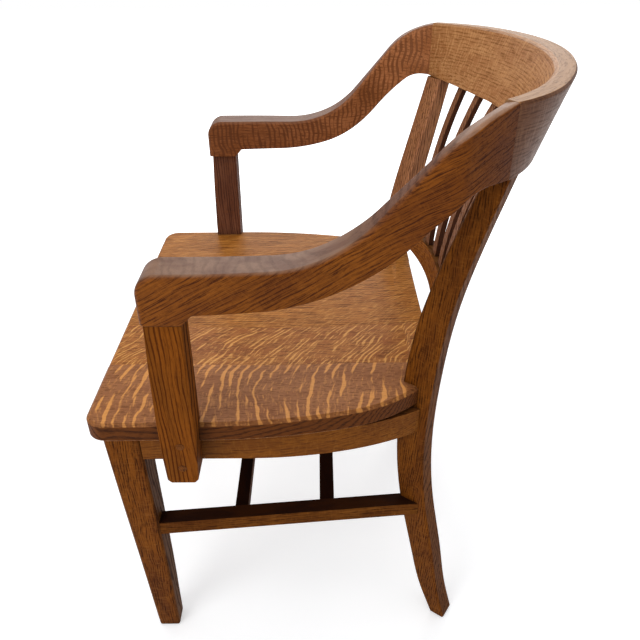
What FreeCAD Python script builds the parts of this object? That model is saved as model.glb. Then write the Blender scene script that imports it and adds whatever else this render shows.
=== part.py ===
import FreeCAD, Part
import math
import os

from FreeCAD import Placement, Rotation, Vector

# Four-legged oak office armchair. Millimetres, +Z up, the sitter faces -Y,
# the sitter's left is +X, the floor is Z 0 and the origin is under the middle.

SIZES = [
    ("plan_shift", 3.89, "brings the plan to the middle of the footprint"),
    ("seat_height", 450.0, "top of the seat at its edges"),
    ("seat_thickness", 32.0, "seat blank"),
    ("seat_front", -299.0, "front edge of the seat"),
    ("seat_back", 141.0, "rear edge of the seat between the back posts"),
    ("seat_half_width", 271.0, "widest half width of the seat"),
    ("seat_corner", 24.0, "plan radius of the front corners"),
    ("seat_top_ease", 4.0, "easing of the upper edge"),
    ("seat_bottom_ease", 7.0, "easing of the lower edge"),
    ("seat_ridge", 12.0, "height of the rise along the rear edge"),
    ("seat_dish", 7.0, "depth of the hollow in the seat"),
    ("seat_dish_radius", 192.0, "reach of the hollow"),
    ("seat_dish_y", -78.0, "middle of the hollow"),
    ("rail_bottom", 380.0, "lower edge of the seat rails"),
    ("rail_thickness", 22.0, "thickness of the seat rails"),
    ("leg_inner", 210.0, "inner face of a front leg"),
    ("leg_back", -238.0, "back face of a front leg"),
    ("foot_ease", 3.0, "worn edge under each foot"),
    ("leg_ease", 3.0, "easing of the leg corners"),
    ("post_turn", 35.0, "plan turn of the back posts"),
    ("post_width", 30.0, "width of a back post across its turned face"),
    ("post_ease", 2.5, "easing of the back post corners"),
    ("stretcher_top", 248.0, "top of the side stretchers"),
    ("stretcher_height", 22.0, "depth of the side stretchers"),
    ("stretcher_width", 22.0, "width of the stretchers"),
    ("cross_top", 240.0, "top of the cross stretchers"),
    ("cross_height", 20.0, "depth of the cross stretchers"),
    ("arm_post_outer", 292.0, "outer face of an arm post"),
    ("arm_post_inner", 257.0, "inner face of an arm post"),
    ("arm_post_bottom", 374.0, "lower end of an arm post"),
    ("arm_post_top", 603.0, "shoulder of an arm post"),
    ("arm_nose_round", 24.0, "rounding of the front of the arm in side view"),
    ("arm_ease", 3.5, "easing of the arm edges"),
    ("tenon_width", 20.0, "thickness of a tenon"),
    ("tenon_length", 22.0, "length of a tenon"),
    ("crest_bottom", 740.0, "lower edge of the crest rail"),
    ("crest_ease", 3.0, "easing of the crest edges"),
    ("low_rail_bottom", 490.0, "lower edge of the lower back rail"),
    ("low_rail_height", 28.0, "depth of the lower back rail"),
    ("low_rail_thickness", 19.0, "thickness of the lower back rail"),
    ("low_rail_radius", 425.0, "plan radius of the lower back rail"),
    ("slat_width", 20.0, "width of a back slat"),
    ("slat_thickness", 8.0, "thickness of a back slat"),
    ("slat_housing", 8.0, "depth a slat enters the rails"),
    ("slat_pitch_low", 38.0, "spacing of the slats at the lower rail"),
    ("slat_pitch_high", 46.0, "spacing of the slats at the crest"),
    ("slat_yaw", 2.5, "plan turn from one slat to the next"),
    ("plug_radius", 5.0, "wooden plugs in the arm posts"),
    ("plug_length", 6.0, "depth of a plug"),
    ("screw_radius", 2.2, "screw shank"),
    ("screw_length", 34.0, "screw shank below the head"),
    ("tongue_length", 30.0, "loose tongue across the joint of arm and crest"),
    ("tongue_thickness", 7.0, "thickness of the tongue"),
    ("tongue_height", 46.0, "height of the tongue"),
    ("tongue_bottom", 756.0, "lower edge of the tongue"),
]

# Joints of the seat boards, from the sitter's right to the left.
SEAT_JOINTS = [-280.0, -227.0, -135.0, -40.0, 53.0, 150.0, 203.0, 280.0]

# Side edge of the seat in plan: straight to the first point, then tangent arcs
# that end at the others, the last one against the back post (x, y).
SEAT_SIDE = [(271, -150), (251, 23), (199, 119)]

# Outer face of a side rail in plan, in the same way.
RAIL_SIDE = [(257, -100), (243, 25), (210, 116)]

# Armrest in plan (x, y): its two sides run straight back from the nose to the
# first point, then in tangent arcs that end at the others, the last at the joint.
ARM_NOSE = -201.0
ARM_INNER = [(245, -140), (237.2, 3.7), (243.2, 64.8), (248.9, 87), (227.5, 164)]
ARM_OUTER = [(292, -150), (279.1, 0.2), (275.2, 112), (271.9, 129.5), (242.1, 175.3)]

# Armrest in side view (y, z): the level top and the level underside end at the
# first point, then tangent arcs rise to the crest.
ARM_TOP = [(-62, 662), (49, 712.8), (101.3, 773.5), (184, 817)]
ARM_UNDERSIDE = [(-78, 617), (-4, 629.5), (84.4, 686.2), (129.1, 729.7), (157, 740)]

# Boss over the arm post and the short ramp behind it (y, z).
ARM_BOSS = [(-156, 603), (-145, 615)]

# Back post in its own turned side view: height, front and back edge; the back
# post is sawn a second time in front view: height, outer edge.
POST_FRONT = [(0, 260), (60, 237), (140, 218.5), (250, 196), (357, 185), (460, 187), (560, 200.5),
              (640, 221.5), (740, 255)]
POST_BACK = [(0, 284), (60, 269), (140, 256.5), (250, 236.5), (357, 226.5), (460, 228), (560, 237.5),
             (640, 254), (740, 281)]
POST_OUTER = [(0, 89), (140, 99), (357, 106.5), (460, 101.5), (560, 94.5), (640, 88.5), (740, 86.5)]

# Front leg sections: height, outer x, front y, back y, inner x.
LEG_SECTIONS = [
    (-10, 241.6, -271.6, -240, 211), (0, 242, -272, -240, 211), (75, 245, -274.2, -239, 210.5),
    (210, 250, -278.2, -238, 210), (300, 254, -280.8, -238, 210), (418, 258, -284, -238, 210),
]

# Crest rail in plan from its middle to the joint, in tangent arcs: inner and
# outer side at its lower edge, and at a level just above its crown.
CREST_LOW_INNER = [(0, 230), (67.9, 219.9), (227.5, 164)]
CREST_LOW_OUTER = [(0, 266), (67.8, 257.1), (183.1, 215.5), (242.14, 175.31)]
CREST_HIGH_INNER = [(0, 267.4), (114.5, 250.8), (227.5, 164)]
CREST_HIGH_OUTER = [(0, 294.4), (92.9, 281.6), (173.6, 247.4), (242.14, 175.31)]
CREST_HIGH_Z = 828.0

# Plan turn of the butt joint between arm and crest rail.
JOINT_TURN = 37.7

# Share of a slat's backward reach that is straight lean; the rest is bend.
SLAT_LEAN = 0.25

doc = FreeCAD.newDocument("armchair")
sheet = doc.addObject("Spreadsheet::Sheet", "sizes")
for row, (alias, value, note) in enumerate(SIZES, start=1):
    sheet.set("A%d" % row, alias)
    sheet.set("B%d" % row, str(value))
    sheet.set("C%d" % row, note)
    sheet.setAlias("B%d" % row, alias)
doc.recompute()


def size(alias):
    """The sheet's number behind an alias."""
    return float(sheet.get(alias))


def bind(feature, name, expression):
    """Drive a property from the sheet; $word stands for an alias."""
    feature.setExpression(name, expression.replace("$", sheet.Name + "."))


def origin_plane(body, role):
    return [f for f in body.Origin.OriginFeatures if f.Role == role][0]


def new_body(label):
    body = doc.addObject("PartDesign::Body", "body_" + label)
    body.Label = label
    bind(body, "Placement.Base.y", "$plan_shift")
    return body


def new_sketch(body, name, role, offset=None):
    sketch = body.newObject("Sketcher::SketchObject", name)
    sketch.AttachmentSupport = (origin_plane(body, role), [""])
    sketch.MapMode = "FlatFace"
    if offset is not None:
        sketch.AttachmentOffset = offset
    return sketch


def vec2(point):
    return Vector(point[0], point[1], 0)


def smooth(points):
    """A spline through plan points, straight at both ends."""
    run = [vec2(p) for p in points]
    curve = Part.BSplineCurve()
    curve.interpolate(Points=run, InitialTangent=run[1] - run[0], FinalTangent=run[-1] - run[-2])
    return curve


def tangent_run(start, ends, inset=0.0, heading=90.0):
    """Arcs that leave a point at a heading and touch each other, moved inward.

    Gives one (first, middle, last) triple of points for each arc.
    """
    arcs = []
    heading = math.radians(heading)
    for end in ends:
        chord = math.hypot(end[0] - start[0], end[1] - start[1])
        swing = math.atan2(end[1] - start[1], end[0] - start[0]) - heading
        radius = chord / (2 * math.sin(swing))
        centre = (start[0] - radius * math.sin(heading), start[1] + radius * math.cos(heading))
        reach = radius - inset
        arcs.append([(centre[0] + reach * math.sin(a), centre[1] - reach * math.cos(a))
                     for a in (heading, heading + swing, heading + 2 * swing)])
        start, heading = end, heading + 2 * swing
    return arcs


def draw(sketch, pieces):
    """Close an outline from runs of points.

    Each piece is ("line", points) for straight runs, ("curve", points) for a
    smooth run or ("arc", three points); each starts where the last one ended.
    """
    for kind, points in pieces:
        if kind == "curve":
            sketch.addGeometry(smooth(points), False)
            continue
        if kind == "arc":
            sketch.addGeometry(Part.Arc(*[vec2(p) for p in points]), False)
            continue
        for start, end in zip(points, points[1:]):
            sketch.addGeometry(Part.LineSegment(vec2(start), vec2(end)), False)
    return sketch


def polygon(sketch, points):
    """A closed outline, drawn counter-clockwise."""
    loop = list(points) + [points[0]]
    area = sum(a[0] * b[1] - b[0] * a[1] for a, b in zip(loop, loop[1:]))
    return draw(sketch, [("line", loop if area > 0 else loop[::-1])])


def pad(body, sketch, length, midplane=False):
    feature = body.newObject("PartDesign::Pad", sketch.Name + "_pad")
    feature.Profile = sketch
    bind(feature, "Length", length)
    feature.SideType = "Symmetric" if midplane else "One side"
    return feature


def through(body, sketch):
    """Cut an outline right through, both ways."""
    doc.recompute()
    feature = body.newObject("PartDesign::Pocket", sketch.Name + "_cut")
    feature.Profile = sketch
    feature.SideType = "Symmetric"
    feature.Length = 1200
    return feature


def loft(body, sketches, ruled=False):
    feature = body.newObject("PartDesign::AdditiveLoft", sketches[0].Name + "_loft")
    feature.Profile = sketches[0]
    feature.Sections = sketches[1:]
    feature.Ruled = ruled
    return feature


def trim_foot(body):
    """Saw the lower end flat at the floor."""
    floor = new_sketch(body, "floor_cut", "XZ_Plane")
    polygon(floor, [(-400, -40), (400, -40), (400, 0), (-400, 0)])
    return through(body, floor)


def edge_names(shape, test):
    return ["Edge%d" % (i + 1) for i, edge in enumerate(shape.Edges) if test(edge)]


def ease(body, base, alias, test):
    """Take the corner off those edges of the body so far that pass the test."""
    doc.recompute()
    feature = body.newObject("PartDesign::Chamfer", base.Name + "_ease")
    feature.Base = (base, edge_names(base.Shape, test))
    bind(feature, "Size", "$" + alias)
    return feature


def on_floor(edge):
    return max(v.Z for v in edge.Vertexes) < 0.01


def mirror_x(points, side):
    return [(side * p[0], p[1]) for p in points]


def boolean(kind, label, base, tool):
    feature = doc.addObject("Part::" + kind, kind.lower() + "_" + label)
    feature.Base = base
    feature.Tool = tool
    feature.Label = label
    return feature


def group(label, tools):
    feature = doc.addObject("Part::MultiFuse", "tools_" + label)
    feature.Shapes = tools
    return feature


def side_name(side):
    return "left" if side > 0 else "right"


def seat_blank():
    """The whole seat before it is divided into its glued boards."""
    body = new_body("seat_blank")
    half, corner = size("seat_half_width"), size("seat_corner")
    front, back, top = size("seat_front"), size("seat_back"), size("seat_height")
    plan = new_sketch(body, "seat_plan", "XY_Plane")
    bind(plan, "AttachmentOffset.Base.z", "$seat_height - $seat_thickness")
    centre = half - corner
    for side in (1, -1):
        arc = Part.Circle(Vector(side * centre, front + corner, 0), Vector(0, 0, 1), corner)
        start, end = (-90, 0) if side > 0 else (180, 270)
        plan.addGeometry(Part.ArcOfCircle(arc, math.radians(start), math.radians(end)), False)
        draw(plan, [("line", mirror_x([(half, front + corner), SEAT_SIDE[0]], side))])
        draw(plan, [("arc", mirror_x(a, side)) for a in tangent_run(SEAT_SIDE[0], SEAT_SIDE[1:])])
        draw(plan, [("line", mirror_x([SEAT_SIDE[-1], (186, 119), (184, back)], side))])
    draw(plan, [("line", [(-centre, front), (centre, front)]), ("line", [(-184, back), (184, back)])])
    blank = pad(body, plan, "$seat_thickness")

    def outline(edge, level):
        low, high = edge.BoundBox.ZMin, edge.BoundBox.ZMax
        flat = high - low < 0.1 and abs(low - level) < 0.1
        return flat and edge.CenterOfMass.y < 100 and edge.BoundBox.YMax < 125

    eased = ease(body, blank, "seat_top_ease", lambda e: outline(e, top))
    under = top - size("seat_thickness")
    ease(body, eased, "seat_bottom_ease", lambda e: outline(e, under))

    rise = size("seat_ridge")
    ridge = new_sketch(body, "seat_ridge", "YZ_Plane")
    draw(ridge, [
        ("curve", [(back - 38, top - 1), (back - 26, top + 0.14 * rise), (back - 14, top + 0.6 * rise),
                   (back - 6, top + rise)]),
        ("line", [(back - 6, top + rise), (back - 2, top + rise), (back, top + rise - 3),
                  (back, top - 12), (back - 38, top - 12), (back - 38, top - 1)]),
    ])
    cove = pad(body, ridge, "368", midplane=True)

    body.Tip = cove
    reach, depth = size("seat_dish_radius"), size("seat_dish")
    ball = doc.addObject("Part::Sphere", "seat_hollow")
    bind(ball, "Radius", "0.5 * ($seat_dish_radius ^ 2 + $seat_dish ^ 2) / $seat_dish")
    radius = 0.5 * (reach * reach + depth * depth) / depth
    ball.Placement = Placement(Vector(0, size("seat_dish_y") + size("plan_shift"), top - depth + radius),
                               Rotation(Vector(1, 0, 0), 90))
    return boolean("Cut", "seat_blank_hollowed", body, ball)


def side_rail(side, cutters):
    body = new_body("side_rail_blank_" + side_name(side))
    plan = new_sketch(body, "rail_plan", "XY_Plane")
    bind(plan, "AttachmentOffset.Base.z", "$rail_bottom")
    ends = []
    for inset in (0.0, size("rail_thickness")):
        arcs = tangent_run(RAIL_SIDE[0], RAIL_SIDE[1:], inset)
        front = (RAIL_SIDE[0][0] - inset, size("leg_back"))
        draw(plan, [("line", mirror_x([front, arcs[0][0]], side))])
        draw(plan, [("arc", mirror_x(a, side)) for a in arcs])
        ends.append((front, arcs[-1][2]))
    draw(plan, [("line", mirror_x([ends[0][i], ends[1][i]], side)) for i in (0, 1)])
    pad(body, plan, "$seat_height - $seat_thickness - $rail_bottom")
    return boolean("Cut", "side_rail_" + side_name(side), body, cutters)


def plan_block(label, points, bottom, height):
    """A flat piece from a plan polygon, its underside at a sheet height."""
    body = new_body(label)
    plan = new_sketch(body, "plan", "XY_Plane")
    bind(plan, "AttachmentOffset.Base.z", bottom)
    polygon(plan, points)
    pad(body, plan, height)
    return body


def front_leg(side):
    body = new_body("front_leg_" + side_name(side))
    sections = []
    for z, outer, front, back, inner in LEG_SECTIONS:
        section = new_sketch(body, "leg_section", "XY_Plane", Placement(Vector(0, 0, z), Rotation()))
        polygon(section, mirror_x([(inner, front), (outer, front), (outer, back), (inner, back)], side))
        sections.append(section)
    loft(body, sections)
    sole = ease(body, trim_foot(body), "foot_ease", on_floor)
    ease(body, sole, "leg_ease", lambda e: e.BoundBox.ZLength > 300)
    return body


def back_post(side):
    """Turned post, sawn twice: it curves in side view and bows in front view."""
    body = new_body("back_post_" + side_name(side))
    width = size("post_width")
    face = new_sketch(body, "post_side", "YZ_Plane", Placement(Vector(0, 0, side * 95), Rotation()))
    front, back = [(y, z) for z, y in POST_FRONT], [(y, z) for z, y in POST_BACK]
    draw(face, [
        ("curve", front), ("line", [front[-1], back[-1]]),
        ("curve", back[::-1]), ("line", [back[0], front[0]]),
    ])
    pad(body, face, "90", midplane=True)
    edge = [(side * x, z) for z, x in POST_OUTER]
    bow = new_sketch(body, "post_bow", "XZ_Plane")
    for shift, far in ((0, 160), (-side * width, 20)):
        run = [(x + shift, z) for x, z in edge]
        draw(bow, [
            ("curve", run),
            ("line", [run[-1], (side * far, run[-1][1]), (side * far, 0), run[0]]),
        ])
    sole = ease(body, through(body, bow), "foot_ease", on_floor)
    ease(body, sole, "post_ease", lambda e: e.BoundBox.ZLength > 600)
    turn = Rotation(Vector(0, 0, 1), -side * size("post_turn"))
    body.Placement = Placement(Vector(0, size("plan_shift"), 0), turn)
    return body


def arm_blank(side):
    """Armrest: one plank sawn in plan and again in side view."""
    body = new_body("arm_blank_" + side_name(side))
    plan = new_sketch(body, "arm_plan", "XY_Plane", Placement(Vector(0, 0, 590), Rotation()))
    for edge in (ARM_INNER, ARM_OUTER):
        draw(plan, [("line", mirror_x([(edge[0][0], ARM_NOSE), edge[0]], side))])
        draw(plan, [("arc", mirror_x(a, side)) for a in tangent_run(edge[0], edge[1:])])
    draw(plan, [("line", mirror_x([ARM_INNER[-1], ARM_OUTER[-1]], side)),
                ("line", mirror_x([(ARM_INNER[0][0], ARM_NOSE), (ARM_OUTER[0][0], ARM_NOSE)], side))])
    pad(body, plan, "240")
    shoulder = ARM_BOSS[0][1]
    under = new_sketch(body, "arm_underside", "YZ_Plane")
    draw(under, [("line", [(-215, shoulder), ARM_BOSS[0], ARM_BOSS[1], ARM_UNDERSIDE[0]])])
    draw(under, [("arc", a) for a in tangent_run(ARM_UNDERSIDE[0], ARM_UNDERSIDE[1:], heading=1.7)])
    draw(under, [("line", [ARM_UNDERSIDE[-1], (200, 740), (200, 540), (-215, 540), (-215, shoulder)])])
    through(body, under)
    top = new_sketch(body, "arm_top", "YZ_Plane")
    level, nose = ARM_TOP[0][1], size("arm_nose_round")
    front = (ARM_NOSE, level - nose)
    draw(top, [("arc", a) for a in tangent_run(front, [(ARM_NOSE + nose, level)])])
    draw(top, [("line", [(ARM_NOSE + nose, level), ARM_TOP[0]])])
    draw(top, [("arc", a) for a in tangent_run(ARM_TOP[0], ARM_TOP[1:], heading=0.0)])
    draw(top, [("line", [ARM_TOP[-1], (ARM_TOP[-1][0], 850), (-240, 850), (-240, front[1]), front])])
    sawn = through(body, top)
    ease(body, sawn, "arm_ease", lambda e: e.BoundBox.YLength > 60 and abs(e.BoundBox.ZMin - level) < 0.1
         and e.BoundBox.ZLength < 0.1)
    return body


def arm_post_blank(side):
    body = new_body("arm_post_blank_" + side_name(side))
    inner, outer = size("arm_post_inner"), size("arm_post_outer")
    bottom, top = size("arm_post_bottom"), size("arm_post_top")
    middle = 0.5 * (inner + outer)
    face = new_sketch(body, "post_face", "YZ_Plane", Placement(Vector(0, 0, side * middle), Rotation()))
    polygon(face, [(-197, top), (-200, 540), (-202, 470), (-202, 420), (-200.5, bottom + 5), (-196, bottom),
                   (-167, bottom), (-162.5, bottom + 5), (-159, 440), (-158, 510), (-157, top)])
    shaft = pad(body, face, "$arm_post_outer - $arm_post_inner", midplane=True)
    tongue = new_sketch(body, "post_tenon", "YZ_Plane", Placement(Vector(0, 0, side * middle), Rotation()))
    reach = size("tenon_length")
    polygon(tongue, [(-189, top - 2), (-165, top - 2), (-165, top + reach), (-189, top + reach)])
    pad(body, tongue, "$tenon_width", midplane=True)
    return body, shaft


def bow(half):
    """Tangent arcs from the -X end to the +X end of a symmetric run.

    The half run starts in the middle.
    """
    first, *others = tangent_run(half[0], half[1:], heading=0.0)
    middle = [(-first[2][0], first[2][1]), half[0], first[2]]
    return [mirror_x(arc[::-1], -1) for arc in others[::-1]] + [middle] + others


def crest_blank():
    """Bent rail whose raked face winds upright toward each end."""
    body = new_body("crest_blank")
    sections = []
    for z, inner, outer in ((size("crest_bottom"), CREST_LOW_INNER, CREST_LOW_OUTER),
                            (CREST_HIGH_Z, CREST_HIGH_INNER, CREST_HIGH_OUTER)):
        section = new_sketch(body, "crest_plan", "XY_Plane", Placement(Vector(0, 0, z), Rotation()))
        draw(section, [("arc", arc) for arc in bow(inner)])
        draw(section, [("line", [inner[-1], outer[-1]])])
        draw(section, [("arc", arc[::-1]) for arc in bow(outer)[::-1]])
        draw(section, [("line", mirror_x([outer[-1], inner[-1]], -1))])
        sections.append(section)
    loft(body, sections, ruled=True)
    crown = new_sketch(body, "crest_crown", "XZ_Plane")
    draw(crown, [
        ("arc", [(-260, 814.3), (0, 821), (260, 814.3)]),
        ("line", [(260, 814.3), (260, 860), (-260, 860), (-260, 814.3)]),
    ])
    ease(body, through(body, crown), "crest_ease", lambda e: e.BoundBox.ZMin > 810 and e.BoundBox.XLength > 50)
    return body


def low_rail_y(x, z):
    """Front face of the lower back rail."""
    radius = size("low_rail_radius")
    sag = radius - math.sqrt(radius * radius - x * x)
    rake = 9.5 / 28.0
    return 150.5 - sag + rake * (z - size("low_rail_bottom"))


def lower_rail_blank():
    body = new_body("lower_rail_blank")
    bottom, height = size("low_rail_bottom"), size("low_rail_height")
    sections = []
    for z in (bottom, bottom + height):
        front = [(x, low_rail_y(x, z)) for x in (172, 0, -172)]
        back = [(x, y + size("low_rail_thickness")) for x, y in front]
        section = new_sketch(body, "rail_plan", "XY_Plane", Placement(Vector(0, 0, z), Rotation()))
        draw(section, [
            ("arc", front), ("line", [front[-1], back[-1]]),
            ("arc", back[::-1]), ("line", [back[0], front[0]]),
        ])
        sections.append(section)
    loft(body, sections, ruled=True)
    return body


def crest_low_y(x):
    """Inner lower edge of the crest rail."""
    points = [p for arc in tangent_run(CREST_LOW_INNER[0], CREST_LOW_INNER[1:], heading=0.0) for p in arc[:2]]
    for (x0, y0), (x1, y1) in zip(points, points[1:]):
        if x0 <= abs(x) <= x1:
            return y0 + (y1 - y0) * (abs(x) - x0) / (x1 - x0)
    return points[-1][1]


def slat(number):
    """Thin slat, upright at the lower rail and bending back to the crest."""
    index = number - 4
    body = new_body("back_slat_%d" % number)
    low_z = size("low_rail_bottom") + size("low_rail_height")
    high_z = size("crest_bottom")
    low_x, high_x = index * size("slat_pitch_low"), index * size("slat_pitch_high")
    low_y = low_rail_y(low_x, low_z) + 4.5
    high_y = crest_low_y(high_x) + 3.0
    span, swing = high_z - low_z, high_y - low_y
    housing = size("slat_housing") / span
    front = [(swing * (SLAT_LEAN * s + (1 - SLAT_LEAN) * s * s), span * s) for s in (-housing, 0.5, 1 + housing)]
    back = [(y + size("slat_thickness"), z) for y, z in front]
    side = new_sketch(body, "slat_side", "YZ_Plane")
    draw(side, [
        ("arc", front), ("line", [front[-1], back[-1]]),
        ("arc", back[::-1]), ("line", [back[0], front[0]]),
    ])
    pad(body, side, "$slat_width", midplane=True)
    fan = math.degrees(math.atan2(high_x - low_x, span))
    yaw = -index * size("slat_yaw")
    turn = Rotation(Vector(0, 1, 0), fan).multiply(Rotation(Vector(0, 0, 1), yaw))
    body.Placement = Placement(Vector(low_x, low_y, low_z), turn)
    bind(body, "Placement.Base.y", "%.4f + $plan_shift" % low_y)
    return body


def cylinder(label, radius, length, placement):
    feature = doc.addObject("Part::Cylinder", "cylinder_" + label)
    feature.Label = label
    bind(feature, "Radius", radius)
    bind(feature, "Height", length)
    feature.Placement = placement
    bind(feature, "Placement.Base.y", "%.4f + $plan_shift" % placement.Base.y)
    return feature


def inward(side, x, y, z):
    """Placement at a point of an arm post, pointing toward the middle."""
    return Placement(Vector(side * x, y, z), Rotation(Vector(0, 0, 1), Vector(-side, 0, 0)))


def fixings(side):
    """Plugs and screws that hold an arm post to the seat and its rail."""
    plugs, screws = [], []
    outer = size("arm_post_outer")
    head_at = outer - size("plug_length")
    for level, y, z in (("upper", -179, 433), ("lower", -180, 398)):
        name = "%s_%s" % (side_name(side), level)
        plugs.append(cylinder("arm_post_plug_" + name, "$plug_radius", "$plug_length",
                              inward(side, outer, y, z)))
        head = cylinder("head_" + name, "$plug_radius", "3", inward(side, head_at, y, z))
        shank = cylinder("shank_" + name, "$screw_radius", "$screw_length", inward(side, head_at, y, z))
        screws.append(boolean("Fuse", "arm_post_screw_" + name, head, shank))
    return plugs, screws


def crest_tongue(side):
    """Loose tongue glued across the butt joint between arm and crest."""
    name = "crest_tongue_" + side_name(side)
    tongue = doc.addObject("Part::Box", "box_" + name)
    tongue.Label = name
    bind(tongue, "Length", "$tongue_thickness")
    bind(tongue, "Width", "$tongue_length")
    bind(tongue, "Height", "$tongue_height")
    middle = [0.5 * (a + b) for a, b in zip(CREST_LOW_INNER[-1], CREST_LOW_OUTER[-1])]
    corner = Vector(-0.5 * size("tongue_thickness"), -0.5 * size("tongue_length"), 0)
    turn = Rotation(Vector(0, 0, 1), side * JOINT_TURN)
    base = Vector(side * middle[0], middle[1] + size("plan_shift"), size("tongue_bottom"))
    tongue.Placement = Placement(base + turn.multVec(corner), turn)
    return tongue


nodes = []
posts = {side: back_post(side) for side in (1, -1)}
legs = {side: front_leg(side) for side in (1, -1)}
doc.recompute()
post_pair = group("posts", list(posts.values()))
frame_pair = group("frame", list(posts.values()) + list(legs.values()))
nodes += list(posts.values()) + list(legs.values())

arm_posts, arms, plugs, screws, tongues = {}, {}, {}, {}, {}
for side in (1, -1):
    plugs[side], screws[side] = fixings(side)
    tongues[side] = crest_tongue(side)
    blank, shaft = arm_post_blank(side)
    drill = group("fixings_" + side_name(side), plugs[side] + screws[side])
    arm_posts[side] = boolean("Cut", "arm_post_" + side_name(side), blank, drill)
    arm = arm_blank(side)
    fittings = group("arm_" + side_name(side), [blank, tongues[side]])
    arms[side] = boolean("Cut", "arm_" + side_name(side), arm, fittings)
    nodes += [arm_posts[side], arms[side], tongues[side]] + plugs[side] + screws[side]

slats = [slat(number) for number in range(1, 8)]
nodes += slats
crest_body = crest_blank()
crest_tools = group("crest", slats + list(tongues.values()))
nodes.append(boolean("Cut", "crest_rail", crest_body, crest_tools))
lower_tools = group("lower", slats + list(posts.values()))
nodes.append(boolean("Cut", "lower_back_rail", lower_rail_blank(), lower_tools))

rail_tools = {side: group("rail_" + side_name(side), [posts[side], legs[side]] + screws[side]) for side in (1, -1)}
side_rails = {side: side_rail(side, rail_tools[side]) for side in (1, -1)}
nodes += list(side_rails.values())
front_rail = plan_block("front_rail", [(-210, -276), (210, -276), (210, -255), (-210, -255)],
                        "$rail_bottom", "$seat_height - $seat_thickness - $rail_bottom")
back_blank = plan_block("back_rail_blank", [(-185, 115), (185, 115), (185, 137), (-185, 137)],
                        "$rail_bottom", "$seat_height - $seat_thickness - $rail_bottom")
back_rail = boolean("Cut", "back_rail", back_blank, post_pair)
nodes += [front_rail, back_rail]

block_tools = group("blocks", list(posts.values()) + list(legs.values()) + list(side_rails.values())
                    + [front_rail, back_rail])
for side in (1, -1):
    for where, plan in (("front", [(170, -258), (240, -258), (240, -180)]),
                        ("back", [(214, 55), (196, 112), (186, 122), (130, 118)])):
        name = "corner_block_%s_%s" % (where, side_name(side))
        block = plan_block(name + "_blank", mirror_x(plan, side), "$rail_bottom + 6", "26")
        nodes.append(boolean("Cut", name, block, block_tools))

side_stretchers = {}
for side in (1, -1):
    plan = mirror_x([(226, -240), (248, -240), (216, 126), (194, 126)], side)
    bar = plan_block("side_stretcher_blank_" + side_name(side), plan,
                     "$stretcher_top - $stretcher_height", "$stretcher_height")
    side_stretchers[side] = boolean("Cut", "side_stretcher_" + side_name(side), bar, frame_pair)
nodes += list(side_stretchers.values())
stretcher_pair = group("stretchers", list(side_stretchers.values()))
for name, front, depth in (("front", -137, 19), ("rear", -15, 21)):
    bar = plan_block("cross_stretcher_blank_" + name,
                     [(-222, front), (222, front), (222, front + depth), (-222, front + depth)],
                     "$cross_top - $cross_height", "$cross_height")
    nodes.append(boolean("Cut", "cross_stretcher_" + name, bar, stretcher_pair))

seat = seat_blank()
doc.recompute()
seat_tools = group("seat", list(posts.values()) + list(arm_posts.values()) + plugs[1] + plugs[-1]
                   + screws[1] + screws[-1])
for number, (start, end) in enumerate(zip(SEAT_JOINTS, SEAT_JOINTS[1:]), start=1):
    strip = doc.addObject("Part::Box", "seat_strip")
    strip.Length = end - start
    strip.Width = 460
    strip.Height = 80
    strip.Placement = Placement(Vector(start, -305, 400), Rotation())
    board = boolean("Common", "seat_board_%d" % number, seat, strip)
    if number not in (3, 4, 5):
        board.Label = "seat_blank_%d" % number
        board = boolean("Cut", "seat_board_%d" % number, board, seat_tools)
    nodes.append(board)
doc.recompute()

for item in doc.Objects:
    if "Invalid" in item.State or "Error" in item.State:
        raise RuntimeError("%s is in state %s" % (item.Name, item.State))
for node in nodes:
    if node.Shape.isNull() or not node.Shape.isValid() or not node.Shape.Solids:
        raise RuntimeError("%s has no sound solid" % node.Label)

os.makedirs("parts", exist_ok=True)
for node in nodes:
    node.Shape.exportStep("parts/%s.step" % node.Label)
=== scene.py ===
import logging
import math
from dataclasses import dataclass, field, replace
from enum import Enum
from typing import Callable

import bmesh
import bpy
from mathutils import Matrix, Vector


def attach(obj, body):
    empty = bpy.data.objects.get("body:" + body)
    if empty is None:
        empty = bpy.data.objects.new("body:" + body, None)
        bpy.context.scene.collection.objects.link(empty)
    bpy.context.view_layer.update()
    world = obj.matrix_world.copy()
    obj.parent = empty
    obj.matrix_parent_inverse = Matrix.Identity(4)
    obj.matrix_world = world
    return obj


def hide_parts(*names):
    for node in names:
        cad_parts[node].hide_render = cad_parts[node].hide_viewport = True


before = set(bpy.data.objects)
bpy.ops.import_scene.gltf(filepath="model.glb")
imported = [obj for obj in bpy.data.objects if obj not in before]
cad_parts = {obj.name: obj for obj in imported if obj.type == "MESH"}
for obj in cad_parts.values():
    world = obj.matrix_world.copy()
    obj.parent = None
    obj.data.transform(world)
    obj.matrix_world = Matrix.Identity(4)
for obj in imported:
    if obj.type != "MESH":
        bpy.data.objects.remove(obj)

Colour = tuple[float, float, float, float]
Pair = tuple[float, float]
Point = tuple[float, float, float]
PlaceTest = Callable[[Vector], bool]
Socket = bpy.types.NodeSocket
Tree = bpy.types.NodeTree
Marks = dict[str, Socket]

MM = 0.001
log = logging.getLogger("armchair")


def linear(code: str) -> Colour:
    """Turn an sRGB hex colour into linear RGBA.

    Args:
        code: colour such as "8a5a2b".

    Returns:
        The colour with alpha 1.
    """
    channels = [int(code[i:i + 2], 16) / 255 for i in (0, 2, 4)]
    red, green, blue = (c / 12.92 if c <= 0.04045 else ((c + 0.055) / 1.055) ** 2.4 for c in channels)
    return red, green, blue, 1.0


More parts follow.
